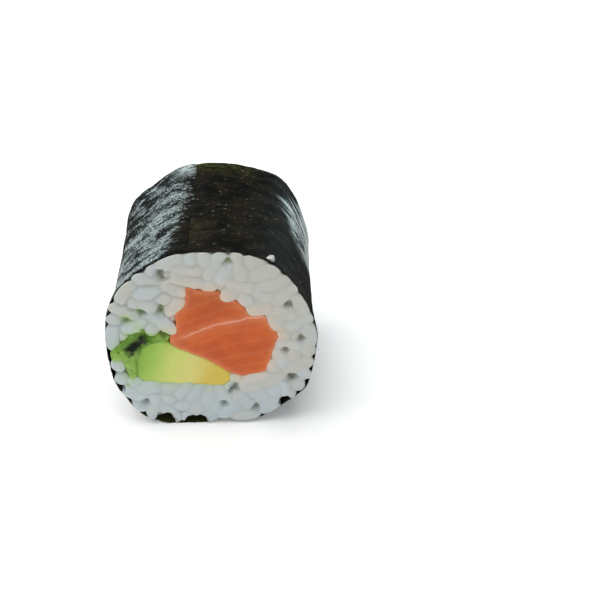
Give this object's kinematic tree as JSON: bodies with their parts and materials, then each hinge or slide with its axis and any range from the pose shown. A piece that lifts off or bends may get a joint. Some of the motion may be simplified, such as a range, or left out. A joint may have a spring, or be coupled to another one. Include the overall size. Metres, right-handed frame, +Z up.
{
  "type": "maki sushi roll piece",
  "caption": "Thick maki sushi roll piece lying on its side: a nori sheet lapped round sushi rice, with salmon, avocado and a folded green leaf running from cut face to cut face.",
  "frame": {"origin": "On the surface that the piece lies on, under the middle of its bounding box", "axes": "+Z up; the roll's axis runs along Y, with the front cut face towards -Y and the back one towards +Y; +X to the right as seen from the front, and the sheet's lap is up and to the left"},
  "size_m": [0.0424, 0.04, 0.0419],
  "materials": {
    "nori": "satin",
    "rice": "satin",
    "salmon": "gloss",
    "avocado": "satin",
    "leaf": "satin"
  },
  "bodies": {
    "root": {"nori": "nori", "rice": "rice", "salmon": "salmon", "avocado": "avocado", "leaf": "leaf"}
  },
  "joints": []
}
